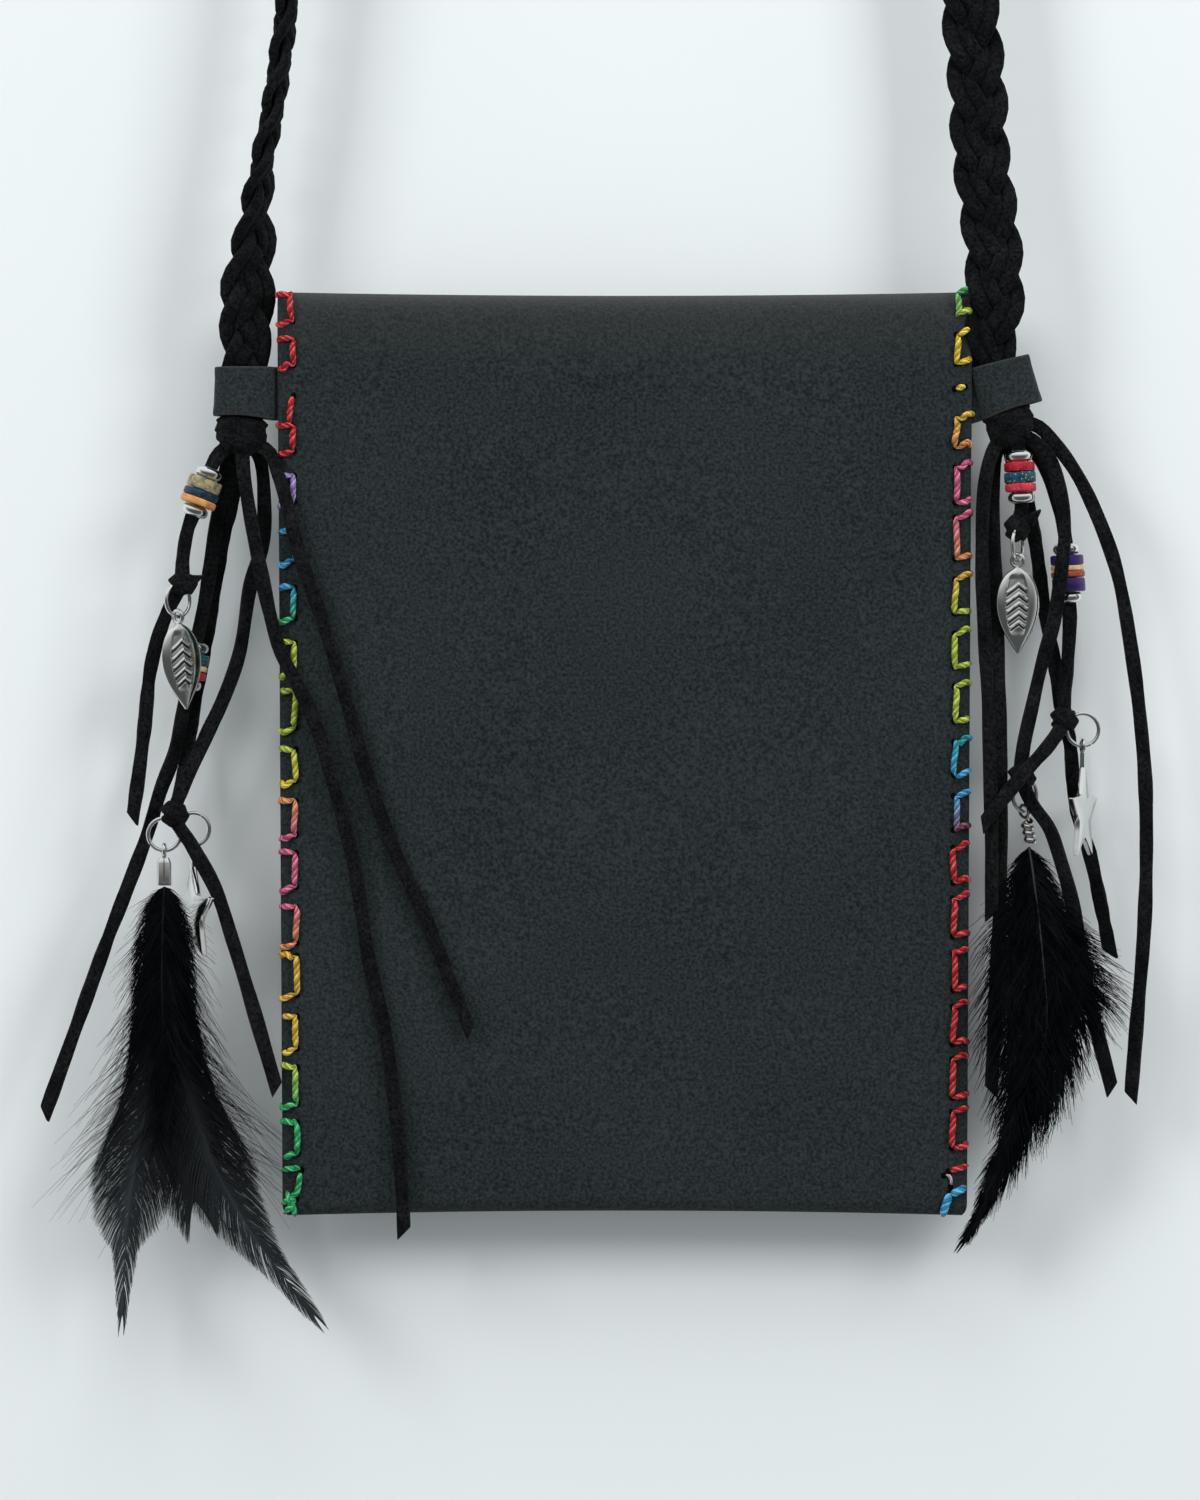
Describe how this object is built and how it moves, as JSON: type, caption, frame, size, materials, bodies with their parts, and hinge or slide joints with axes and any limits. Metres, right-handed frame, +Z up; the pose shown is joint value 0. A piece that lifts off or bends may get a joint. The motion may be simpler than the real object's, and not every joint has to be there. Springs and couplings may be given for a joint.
{
  "type": "feathered shoulder bag",
  "caption": "Flat leather pouch with a fold-over flap and laced sides, hung on a plaited suede strap whose knotted ends trail laces with beads, silver charms and black feathers.",
  "frame": {"origin": "point that the strap hangs from, under the top of its arch", "axes": "+X to the viewer's right across the pouch, +Y away from the viewer through the pouch, +Z up along the hanging bag"},
  "size_m": [0.2432, 0.022, 0.7238],
  "materials": {
    "nubuck": "matt charcoal nubuck",
    "suede": "black suede",
    "silver": "polished silver plate with darkened recesses",
    "feather": "black plume",
    "sand": "mottled disc",
    "navy": "mottled disc",
    "orange": "mottled disc",
    "red": "mottled disc",
    "teal": "mottled disc",
    "pink": "mottled disc",
    "cream": "mottled disc",
    "rust": "mottled disc",
    "violet": "mottled disc"
  },
  "bodies": {
    "root": {"pouch": "nubuck", "tab_left": "nubuck", "tab_right": "nubuck", "strap": "suede", "knot_left": "suede", "knot_right": "suede", "lace_left_leaf": "suede", "lace_left_feather": "suede", "lace_left_star": "suede", "lace_left_back": "suede", "lace_left_face_outer": "suede", "lace_left_face_inner": "suede", "lace_right_plain_short": "suede", "lace_right_plain_long": "suede", "lace_right_leaf": "suede", "lace_right_feather": "suede", "lace_right_star": "suede", "lace_right_back": "suede", "lace_right_outer": "suede", "ring_left_leaf": "silver", "ring_left_feather": "silver", "ring_left_star": "silver", "ring_right_leaf": "silver", "ring_right_feather": "silver", "ring_right_star": "silver", "bead_left_leaf_1": "silver", "bead_left_leaf_2": "sand", "bead_left_leaf_3": "navy", "bead_left_leaf_4": "orange", "bead_left_leaf_5": "silver", "bead_left_feather_1": "silver", "bead_left_feather_2": "teal", "bead_left_feather_3": "cream", "bead_left_feather_4": "red", "bead_left_feather_5": "silver", "bead_right_leaf_1": "silver", "bead_right_leaf_2": "red", "bead_right_leaf_3": "teal", "bead_right_leaf_4": "pink", "bead_right_leaf_5": "silver", "bead_right_star_1": "silver", "bead_right_star_2": "violet", "bead_right_star_3": "cream", "bead_right_star_4": "rust", "bead_right_star_5": "violet", "bead_right_star_6": "silver", "leaf_left": "silver", "leaf_right": "silver", "star_left": "silver", "star_right": "silver", "clamp_left": "silver", "clamp_right": "silver", "feather_left": "feather", "feather_right": "feather"}
  },
  "joints": []
}
